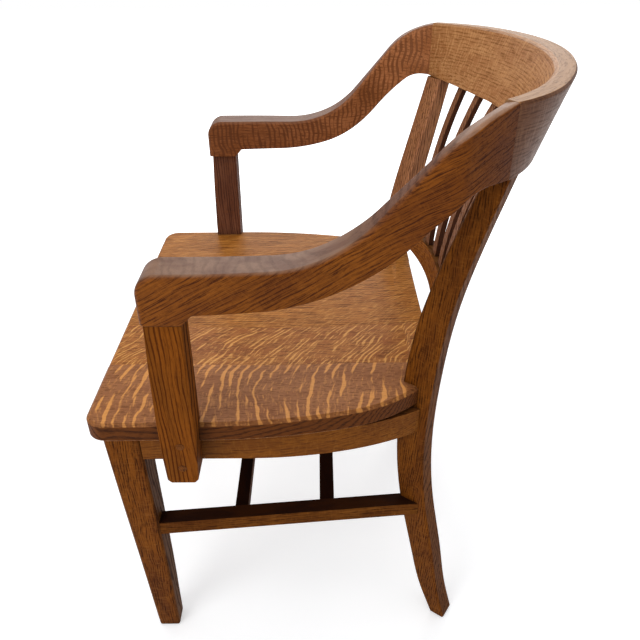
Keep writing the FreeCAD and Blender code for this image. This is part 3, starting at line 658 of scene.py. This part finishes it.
@dataclass
class WoodPiece:
    """One sawn piece: softened arrises, its own grain and its own tone.

    Attributes:
        node: CAD node that the piece is made from and replaces.
        finish: oak that it is made of.
        run: how its grain lies.
        tint: tone of the piece.
        slant: turn of the grain in degrees.
        softness: radius of its arrises in mm.
        outer_tint: tone of the back's outside, as a share of tint: painted shade on the side turned from the
            light.
        sweep: mm by which the grain sweeps back.
        crest_shade: how much darker an arm gets towards the crest as painted shade, or paler as a painted
            glare if below 0.
        crest_shade_from: Y in mm where that begins.
        plank: number of the plank that it shares, or 0 for its own.
        joints: tests for corners in glued joints, which stay sharp.
    """

    node: str
    finish: OakFinish
    run: Run
    tint: float = 1.0
    slant: float = 0.0
    softness: float = 1.4
    outer_tint: float = 1.0
    sweep: float = 0.0
    crest_shade: float = 0.0
    crest_shade_from: float = 30.0
    plank: int = 0
    joints: list[PlaceTest] = field(default_factory=list)

    def grain_at(self, place: Vector, seed: int) -> Point:
        """Position in the plank that the piece was sawn from.

        Args:
            place: point in metres.
            seed: number of the plank.

        Returns:
            Millimetres along the grain, across it and into the plank.
        """
        x, y, z = (v / MM for v in place)
        if self.run is Run.FORE_AFT:
            swept = self.sweep * ((x - BENCH.sweep_from) / BENCH.sweep_unit) ** 2
            along, across, into = y - swept, x, z
        elif self.run is Run.ACROSS:
            along, across, into = x, z, y
        elif self.run is Run.UPRIGHT:
            along, across, into = z, y, x
        elif self.run is Run.ROUND:
            lean = BENCH.bend_lean * (z - BENCH.bend_level)
            along, across, into = BENCH.bend_radius * math.atan2(x, y), z, math.hypot(x, y) - lean
        else:
            along, across, into = y, z, x
        turn = math.radians(self.slant)
        turned = (along * math.cos(turn) + across * math.sin(turn),
                  across * math.cos(turn) - along * math.sin(turn), into)
        return tuple(size + step * seed for size, step in zip(turned, BENCH.plank_step))

    def tone_at(self, vertex: bpy.types.MeshVertex) -> float:
        """Brightness of the wood, with painted shade outside the back and painted light and shade along an
        arm.

        Args:
            vertex: corner of the piece in metres.

        Returns:
            Factor on the colour.
        """
        radial = Vector((vertex.co.x, vertex.co.y, 0)).normalized()
        # The outside of the back is darkened as painted shade.
        tone = self.tint * (self.outer_tint if vertex.normal.dot(radial) > BENCH.outward else 1.0)
        # Towards the crest an arm is darkened as painted shade, or lightened as a painted glare for a
        # negative value, and its rim is lightened as a painted highlight.
        if self.crest_shade:
            reach = min(max((vertex.co.y - self.crest_shade_from * MM) / BENCH.crest_shade_length, 0.0), 1.0)
            gain = BENCH.rim_highlight if vertex.normal.z > BENCH.rim_up else -self.crest_shade
            tone *= 1.0 + gain * reach
        return tone

    def facing(self, face: bpy.types.MeshPolygon) -> float:
        """How far a face lies along the rays, where their figure shows.

        Args:
            face: polygon in metres.

        Returns:
            1 on a quarter-sawn face, 0 on the edges of the plank.
        """
        way = {Run.FORE_AFT: (0, 0, 1), Run.ACROSS: (0, 1, 0), Run.UPRIGHT: (1, 0, 0), Run.RISING: (1, 0, 0),
               Run.ROUND: (face.center.x, face.center.y, 0)}[self.run]
        return abs(face.normal.dot(Vector(way).normalized()))

    def merge(self, mesh: bpy.types.Mesh) -> None:
        """Merge loose triangles into clean faces and mark the arrises.

        Args:
            mesh: copy of a CAD node's mesh, in metres.
        """
        # Normals that came with the solid would override the rounded shading.
        imported = mesh.attributes.get("custom_normal")
        if imported is not None:
            mesh.attributes.remove(imported)
        work = bmesh.new()
        work.from_mesh(mesh)
        bmesh.ops.remove_doubles(work, verts=work.verts, dist=BENCH.merge)
        flat = math.radians(BENCH.flat)
        bmesh.ops.dissolve_limit(work, angle_limit=flat, verts=work.verts, edges=work.edges)
        weight = work.edges.layers.float.new("bevel_weight_edge")
        for edge in work.edges:
            sharp = len(edge.link_faces) == 2 and edge.calc_face_angle(0.0) > math.radians(BENCH.arris)
            jointed = any(all(test(v.co) for v in edge.verts) for test in self.joints)
            edge[weight] = 1.0 if sharp and not jointed else 0.0
        work.to_mesh(mesh)
        work.free()

    def soften(self, piece: bpy.types.Object) -> None:
        """Round the marked arrises and shade the flats evenly.

        Args:
            piece: active object with the merged mesh.
        """
        bevel = piece.modifiers.new("arris", "BEVEL")
        bevel.limit_method = "WEIGHT"
        bevel.width = self.softness * MM
        bevel.segments = BENCH.facets
        bevel.use_clamp_overlap = True
        bevel.harden_normals = False
        bpy.ops.object.modifier_apply(modifier=bevel.name)
        piece.data.shade_smooth()
        piece.data.set_sharp_from_angle(angle=math.radians(BENCH.smooth))
        weighted = piece.modifiers.new("flats", "WEIGHTED_NORMAL")
        weighted.keep_sharp = True
        weighted.weight = BENCH.flat_weight
        bpy.ops.object.modifier_apply(modifier=weighted.name)

    def mark_grain(self, mesh: bpy.types.Mesh, seed: int) -> None:
        """Write place in the plank, tone and quarter-sawn faces into the mesh.

        Args:
            mesh: finished mesh of the piece.
            seed: number of the plank.
        """
        # A new attribute moves the earlier ones, so each is found by name again.
        for name, kind, domain in (("grain", "FLOAT_VECTOR", "POINT"), ("tint", "FLOAT", "POINT"),
                                   ("facing", "FLOAT", "FACE")):
            mesh.attributes.new(name, kind, domain)
        for vertex in mesh.vertices:
            mesh.attributes["grain"].data[vertex.index].vector = self.grain_at(vertex.co, seed)
            mesh.attributes["tint"].data[vertex.index].value = self.tone_at(vertex)
        for face in mesh.polygons:
            mesh.attributes["facing"].data[face.index].value = self.facing(face)

    def make(self, seed: int) -> bpy.types.Object:
        """Build the piece from its CAD solid and dress it.

        Args:
            seed: number of the plank.

        Returns:
            The finished piece.
        """
        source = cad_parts[self.node]
        bpy.ops.object.select_all(action="DESELECT")
        piece = bpy.data.objects.new("oak_" + self.node, source.data.copy())
        bpy.context.scene.collection.objects.link(piece)
        piece.data.transform(source.matrix_world)
        piece.select_set(True)
        bpy.context.view_layer.objects.active = piece
        self.merge(piece.data)
        self.soften(piece)
        piece.data.materials.clear()
        piece.data.materials.append(self.finish.build())
        self.mark_grain(piece.data, seed)
        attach(piece, "root")
        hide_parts(self.node)
        log.info("%s: %d faces, %s", piece.name, len(piece.data.polygons), self.finish.name)
        return piece


@dataclass
class Seat:
    """Seven glued boards over a rail frame with corner blocks.

    Attributes:
        joints_mm: X of the glued joints.
        joint_width: metres within which a corner lies in a joint.
        figures: finish, tone and slant of each board, from the far side.
        softness: radius of the boards' arrises in mm.
        sweep: sweep of the boards' grain in mm.
        last_plank: number of the plank that the last two boards share.
        rail_slant: slant of the side rails' grain in degrees.
        rail_tints: tones of the front and back rails.
        block_tint: tone of the corner blocks.
        block_slants: slants of the front and back blocks in degrees.
    """

    joints_mm: tuple[float, ...] = (-227.0, -135.0, -40.0, 53.0, 150.0, 203.0)
    joint_width: float = 2e-5
    figures: tuple[tuple[OakFinish, float, float], ...] = (
        (SEAT_FINE, 1.04, 0.0), (SEAT_FINE, 1.02, 0.0), (SEAT_FINE, 1.0, 4.0), (SEAT_FINE, 1.03, 0.0),
        (SEAT_WAVY, 1.0, 0.0), (SEAT_BOLD, 1.0, 0.0), (SEAT_BOLD, 1.0, 0.0),
    )
    softness: float = 2.0
    sweep: float = 26.0
    last_plank: int = 6
    rail_slant: float = 3.0
    rail_tints: Pair = (0.95, 0.9)
    block_tint: float = 0.8
    block_slants: Pair = (45.0, 30.0)

    def at_joint(self, level: float) -> PlaceTest:
        """Test for corners of the glued joint at X = level mm."""
        return lambda co: abs(co.x - level * MM) < self.joint_width

    def pieces(self) -> list[WoodPiece]:
        """List the boards, rails and blocks.

        Returns:
            The pieces in the order of making.
        """
        glue = [self.at_joint(level) for level in self.joints_mm]
        made = []
        for number, (finish, tint, slant) in enumerate(self.figures, start=1):
            plank = self.last_plank if number >= self.last_plank else 0
            made.append(WoodPiece("seat_board_%d" % number, finish, Run.FORE_AFT, tint, slant, self.softness,
                                  sweep=self.sweep, plank=plank, joints=glue))
        for side in ("left", "right"):
            made.append(WoodPiece("side_rail_" + side, APRON_OAK, Run.RISING, slant=self.rail_slant))
            for end, slant in zip(("front_", "back_"), self.block_slants):
                made.append(WoodPiece("corner_block_" + end + side, FRAME_OAK, Run.ACROSS, self.block_tint,
                                      slant))
        for end, tint in zip(("front", "back"), self.rail_tints):
            made.append(WoodPiece(end + "_rail", APRON_OAK, Run.ACROSS, tint))
        return made


@dataclass
class LegFrame:
    """Tapered front legs, curved back posts and the stretchers between them.

    Attributes:
        leg_slant: slant of the legs' grain in degrees.
        post_slant: slant of the posts' grain in degrees.
        post_softness: radius of the posts' arrises in mm.
        far_tint: tone of the far post, which is paler.
        cross_tint: tone of the cross stretchers, which stand in shade.
    """

    leg_slant: float = 2.0
    post_slant: float = 3.0
    post_softness: float = 4.0
    far_tint: float = 1.2
    cross_tint: float = 0.5

    def pieces(self) -> list[WoodPiece]:
        """List the legs, posts and stretchers.

        Returns:
            The pieces in the order of making.
        """
        made = []
        for side, finish, tint in (("left", FRAME_OAK, 1.0), ("right", FAR_BACK_OAK, self.far_tint)):
            made.append(WoodPiece("front_leg_" + side, FRAME_OAK, Run.UPRIGHT, slant=self.leg_slant))
            made.append(WoodPiece("back_post_" + side, finish, Run.UPRIGHT, tint, self.post_slant,
                                  self.post_softness))
            made.append(WoodPiece("side_stretcher_" + side, DARK_OAK, Run.RISING))
        for place in ("front", "rear"):
            made.append(WoodPiece("cross_stretcher_" + place, DARK_OAK, Run.ACROSS, self.cross_tint))
        return made


@dataclass
class ArmRun:
    """Sawn armrests on their plugged posts.

    Attributes:
        softness: radius of the arms' arrises in mm.
        post_slant: slant of the posts' grain in degrees.
        joint_turn: turn of the joint with the crest in degrees.
        joint_mm: X and Y of a point in that joint.
        joint_width: metres within which a corner lies in the joint.
    """

    softness: float = 2.4
    post_slant: float = -1.5
    joint_turn: float = 37.7
    joint_mm: Pair = (227.5, 167.89)
    joint_width: float = 3e-5

    def at_crest(self, side: int) -> PlaceTest:
        """Test for corners of the butt joint against the crest rail.

        Args:
            side: 1 for the left arm, -1 for the right one.

        Returns:
            The test.
        """
        turn = math.radians(self.joint_turn)
        normal = Vector((-side * math.sin(turn), math.cos(turn), 0))
        start = Vector((side * self.joint_mm[0] * MM, self.joint_mm[1] * MM, 0))
        return lambda co: abs((Vector((co.x, co.y, 0)) - start).dot(normal)) < self.joint_width

    def pieces(self) -> list[WoodPiece]:
        """List the arms and their posts.

        Returns:
            The pieces in the order of making.
        """
        # The near arm gets painted shade towards the crest, and the far arm a painted glare.
        left = WoodPiece("arm_left", ARM_OAK, Run.RISING, slant=28.0, softness=self.softness, crest_shade=0.25,
                         crest_shade_from=30.0, joints=[self.at_crest(1)])
        right = WoodPiece("arm_right", ZEBRA_OAK, Run.RISING, softness=self.softness, crest_shade=-0.6,
                          crest_shade_from=-40.0, joints=[self.at_crest(-1)])
        return [left, WoodPiece("arm_post_left", POST_OAK, Run.UPRIGHT, slant=self.post_slant),
                right, WoodPiece("arm_post_right", SHADED_POST_OAK, Run.UPRIGHT, slant=self.post_slant)]


@dataclass
class Back:
    """Bent crest rail, lower rail and the fan of slats between them.

    Attributes:
        crest_tint: tone of the crest's inside.
        crest_outer: tone of its outside, as a share of that: painted shade on the side turned from the light.
        crest_softness: radius of its arrises in mm.
        slats: number of slats.
        slat_softness: radius of the slats' arrises in mm.
        slat_tints: tones that the slats take in turn.
    """

    crest_tint: float = 1.04
    crest_outer: float = 0.33
    crest_softness: float = 4.0
    slats: int = 7
    slat_softness: float = 1.0
    slat_tints: tuple[float, ...] = (0.9, 0.93, 0.96)

    def pieces(self) -> list[WoodPiece]:
        """List the rails and slats.

        Returns:
            The pieces in the order of making.
        """
        arms = ArmRun()
        made = [WoodPiece("crest_rail", CREST_OAK, Run.ROUND, self.crest_tint, softness=self.crest_softness,
                          outer_tint=self.crest_outer, joints=[arms.at_crest(1), arms.at_crest(-1)]),
                WoodPiece("lower_back_rail", RAIL_OAK, Run.ROUND)]
        for number in range(1, self.slats + 1):
            tint = self.slat_tints[number % len(self.slat_tints)]
            made.append(WoodPiece("back_slat_%d" % number, SHADED_SLAT_OAK, Run.UPRIGHT, tint,
                                  softness=self.slat_softness))
        return made


@dataclass
class Fixings:
    """Screws, plugs and tongues that stay as the CAD solids.

    Attributes:
        wooden: words in the names of the wooden ones.
    """

    wooden: tuple[str, ...] = ("plug", "tongue")

    def dress(self) -> None:
        """Give each small node its finish."""
        steel, plug = SteelFinish().build(), PLUG_OAK.build()
        for name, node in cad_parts.items():
            if "screw" in name:
                finish = steel
            elif any(word in name for word in self.wooden):
                finish = plug
            else:
                continue
            for slot in node.material_slots:
                slot.material = finish


@dataclass(frozen=True)
class SoftBox:
    """One soft lamp that points at the chair.

    Attributes:
        name: name of the lamp.
        place: its place in metres.
        size: its width and height in metres.
        watts: its power.
    """

    name: str
    place: Point
    size: Pair
    watts: float

    def hang(self, target: Point) -> None:
        """Put the lamp in the scene.

        Args:
            target: point in metres that it looks at.
        """
        data = bpy.data.lights.new(self.name, "AREA")
        data.shape = "RECTANGLE"
        data.size, data.size_y = self.size
        data.energy = self.watts
        lamp = bpy.data.objects.new(self.name, data)
        place = Vector(self.place)
        aim = (Vector(target) - place).to_track_quat("-Z", "Y").to_matrix().to_4x4()
        lamp.matrix_world = Matrix.Translation(place) @ aim
        bpy.context.scene.collection.objects.link(lamp)


@dataclass
class Studio:
    """Pale floor, soft light and the camera of the photograph.

    Attributes:
        camera_mm: place of the camera.
        azimuth: its bearing around the chair in degrees.
        down: how far it looks down in degrees.
        roll: its turn about its own axis in degrees.
        focal_px: focal length in pixels of the photograph.
        frame_px: width of the photograph in pixels.
        sensor: width of the sensor in mm.
        near_clip: nearest thing that it sees, in metres.
        floor_size: side of the floor in metres.
        floor_drop: metres of the floor under the feet, so that the two don't flicker.
        paper: brightness of the floor.
        glow_from: metres from the chair where the paper starts and ends whitening.
        glow: light of the paper there, as the camera sees it.
        sky: colour of the even light.
        sky_level: strength of the even light.
        target: point in metres that the lamps look at.
        lamps: the soft boxes.
    """

    camera_mm: Point = (858.41, -9.11, 973.18)
    azimuth: float = 89.96
    down: float = 32.674
    roll: float = -0.443
    focal_px: float = 651.83
    frame_px: float = 640.0
    sensor: float = 36.0
    near_clip: float = 0.01
    floor_size: float = 14.0
    floor_drop: float = 0.0005
    paper: float = 0.8
    glow_from: Pair = (0.7, 1.7)
    glow: Pair = (0.42, 1.0)
    sky: Colour = (0.93, 0.96, 1.0, 1.0)
    sky_level: float = 0.55
    target: Point = (0.0, 0.0, 0.45)
    lamps: tuple[SoftBox, ...] = (
        SoftBox("softbox_top", (0.1, -0.3, 2.6), (2.4, 2.4), 24.0),
        SoftBox("softbox_far", (-2.4, 0.2, 1.9), (2.2, 1.4), 26.0),
        SoftBox("softbox_near", (1.9, -1.6, 1.6), (1.4, 1.4), 24.0),
    )

    def camera(self) -> None:
        """Place the camera where the photograph was taken."""
        data = bpy.data.cameras.new("photo_camera")
        data.sensor_width = self.sensor
        data.lens = self.focal_px * data.sensor_width / self.frame_px
        data.clip_start = self.near_clip
        turn, down, roll = (math.radians(v) for v in (self.azimuth, self.down, self.roll))
        back = Vector((math.sin(turn) * math.cos(down), -math.cos(turn) * math.cos(down), math.sin(down)))
        right = (-back).cross(Vector((0, 0, 1))).normalized()
        up = right.cross(-back)
        right, up = (right * math.cos(roll) + up * math.sin(roll),
                     up * math.cos(roll) - right * math.sin(roll))
        camera = bpy.data.objects.new("photo_camera", data)
        rotation = Matrix((right, up, back)).transposed().to_4x4()
        camera.matrix_world = Matrix.Translation(Vector(self.camera_mm) * MM) @ rotation
        bpy.context.scene.collection.objects.link(camera)
        bpy.context.scene.camera = camera

    def seen_ray(self, tree: Tree) -> Socket:
        """Tell rays that see the background from rays that light the chair.

        Args:
            tree: node tree of the floor or the sky.

        Returns:
            1 for camera rays and rays that are mirrored or pass through.
        """
        path = add_node(tree, "LightPath").outputs
        either = add_node(tree, "Math", [path["Is Camera Ray"], path["Is Glossy Ray"]], operation="MAXIMUM")
        return add_node(tree, "Math", [either, path["Is Transmission Ray"]], operation="MAXIMUM").outputs[0]

    def floor(self) -> None:
        """Lay a pale floor that looks white to the camera but keeps shadows."""
        bpy.ops.object.select_all(action="DESELECT")
        bpy.ops.mesh.primitive_plane_add(size=self.floor_size, location=(0, 0, -self.floor_drop))
        floor = bpy.context.active_object
        floor.name = "studio_floor"
        # Matt studio paper: an even pale grey that takes soft shadows.
        material = bpy.data.materials.new("studio_paper")
        material.use_nodes = True
        tree = material.node_tree
        tree.nodes.clear()
        paper = add_node(tree, "BsdfDiffuse", {"Color": (self.paper, self.paper, self.paper, 1)})
        # The paper whitens away from the chair, so that no edge shows.
        place = add_node(tree, "TexCoord").outputs["Object"]
        away = add_node(tree, "VectorMath", [place], operation="LENGTH").outputs["Value"]
        level = add_node(tree, "MapRange", [away, *self.glow_from, *self.glow],
                         interpolation_type="SMOOTHSTEP")
        glow = add_node(tree, "Emission", {"Color": (1, 1, 1, 1), "Strength": level})
        both = add_node(tree, "AddShader", [paper, glow])
        seen = add_node(tree, "MixShader", [self.seen_ray(tree), paper, both])
        add_node(tree, "OutputMaterial", [seen])
        floor.data.materials.append(material)

    def world(self) -> None:
        """Even sky that is white where the camera sees it."""
        world = bpy.data.worlds.new("studio_sky")
        bpy.context.scene.world = world
        world.use_nodes = True
        tree = world.node_tree
        tree.nodes.clear()
        sky = add_node(tree, "Background", {"Color": self.sky, "Strength": self.sky_level})
        white = add_node(tree, "Background", {"Color": (1, 1, 1, 1), "Strength": 1.0})
        mixed = add_node(tree, "MixShader", [self.seen_ray(tree), sky, white])
        add_node(tree, "OutputWorld", [mixed])

    def build(self) -> None:
        """Set up camera, floor, sky and lamps."""
        self.camera()
        self.floor()
        self.world()
        for lamp in self.lamps:
            lamp.hang(self.target)


def main() -> None:
    """Build the chair and its studio."""
    logging.basicConfig(level=logging.INFO, format="%(name)s: %(message)s")
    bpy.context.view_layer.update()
    bpy.context.scene.view_settings.view_transform = "Standard"
    bpy.ops.object.select_all(action="DESELECT")
    seed = 0
    for part in (Seat(), LegFrame(), ArmRun(), Back()):
        for piece in part.pieces():
            seed += 1
            piece.make(piece.plank or seed)
    Fixings().dress()
    Studio().build()


if __name__ == "__main__":
    main()
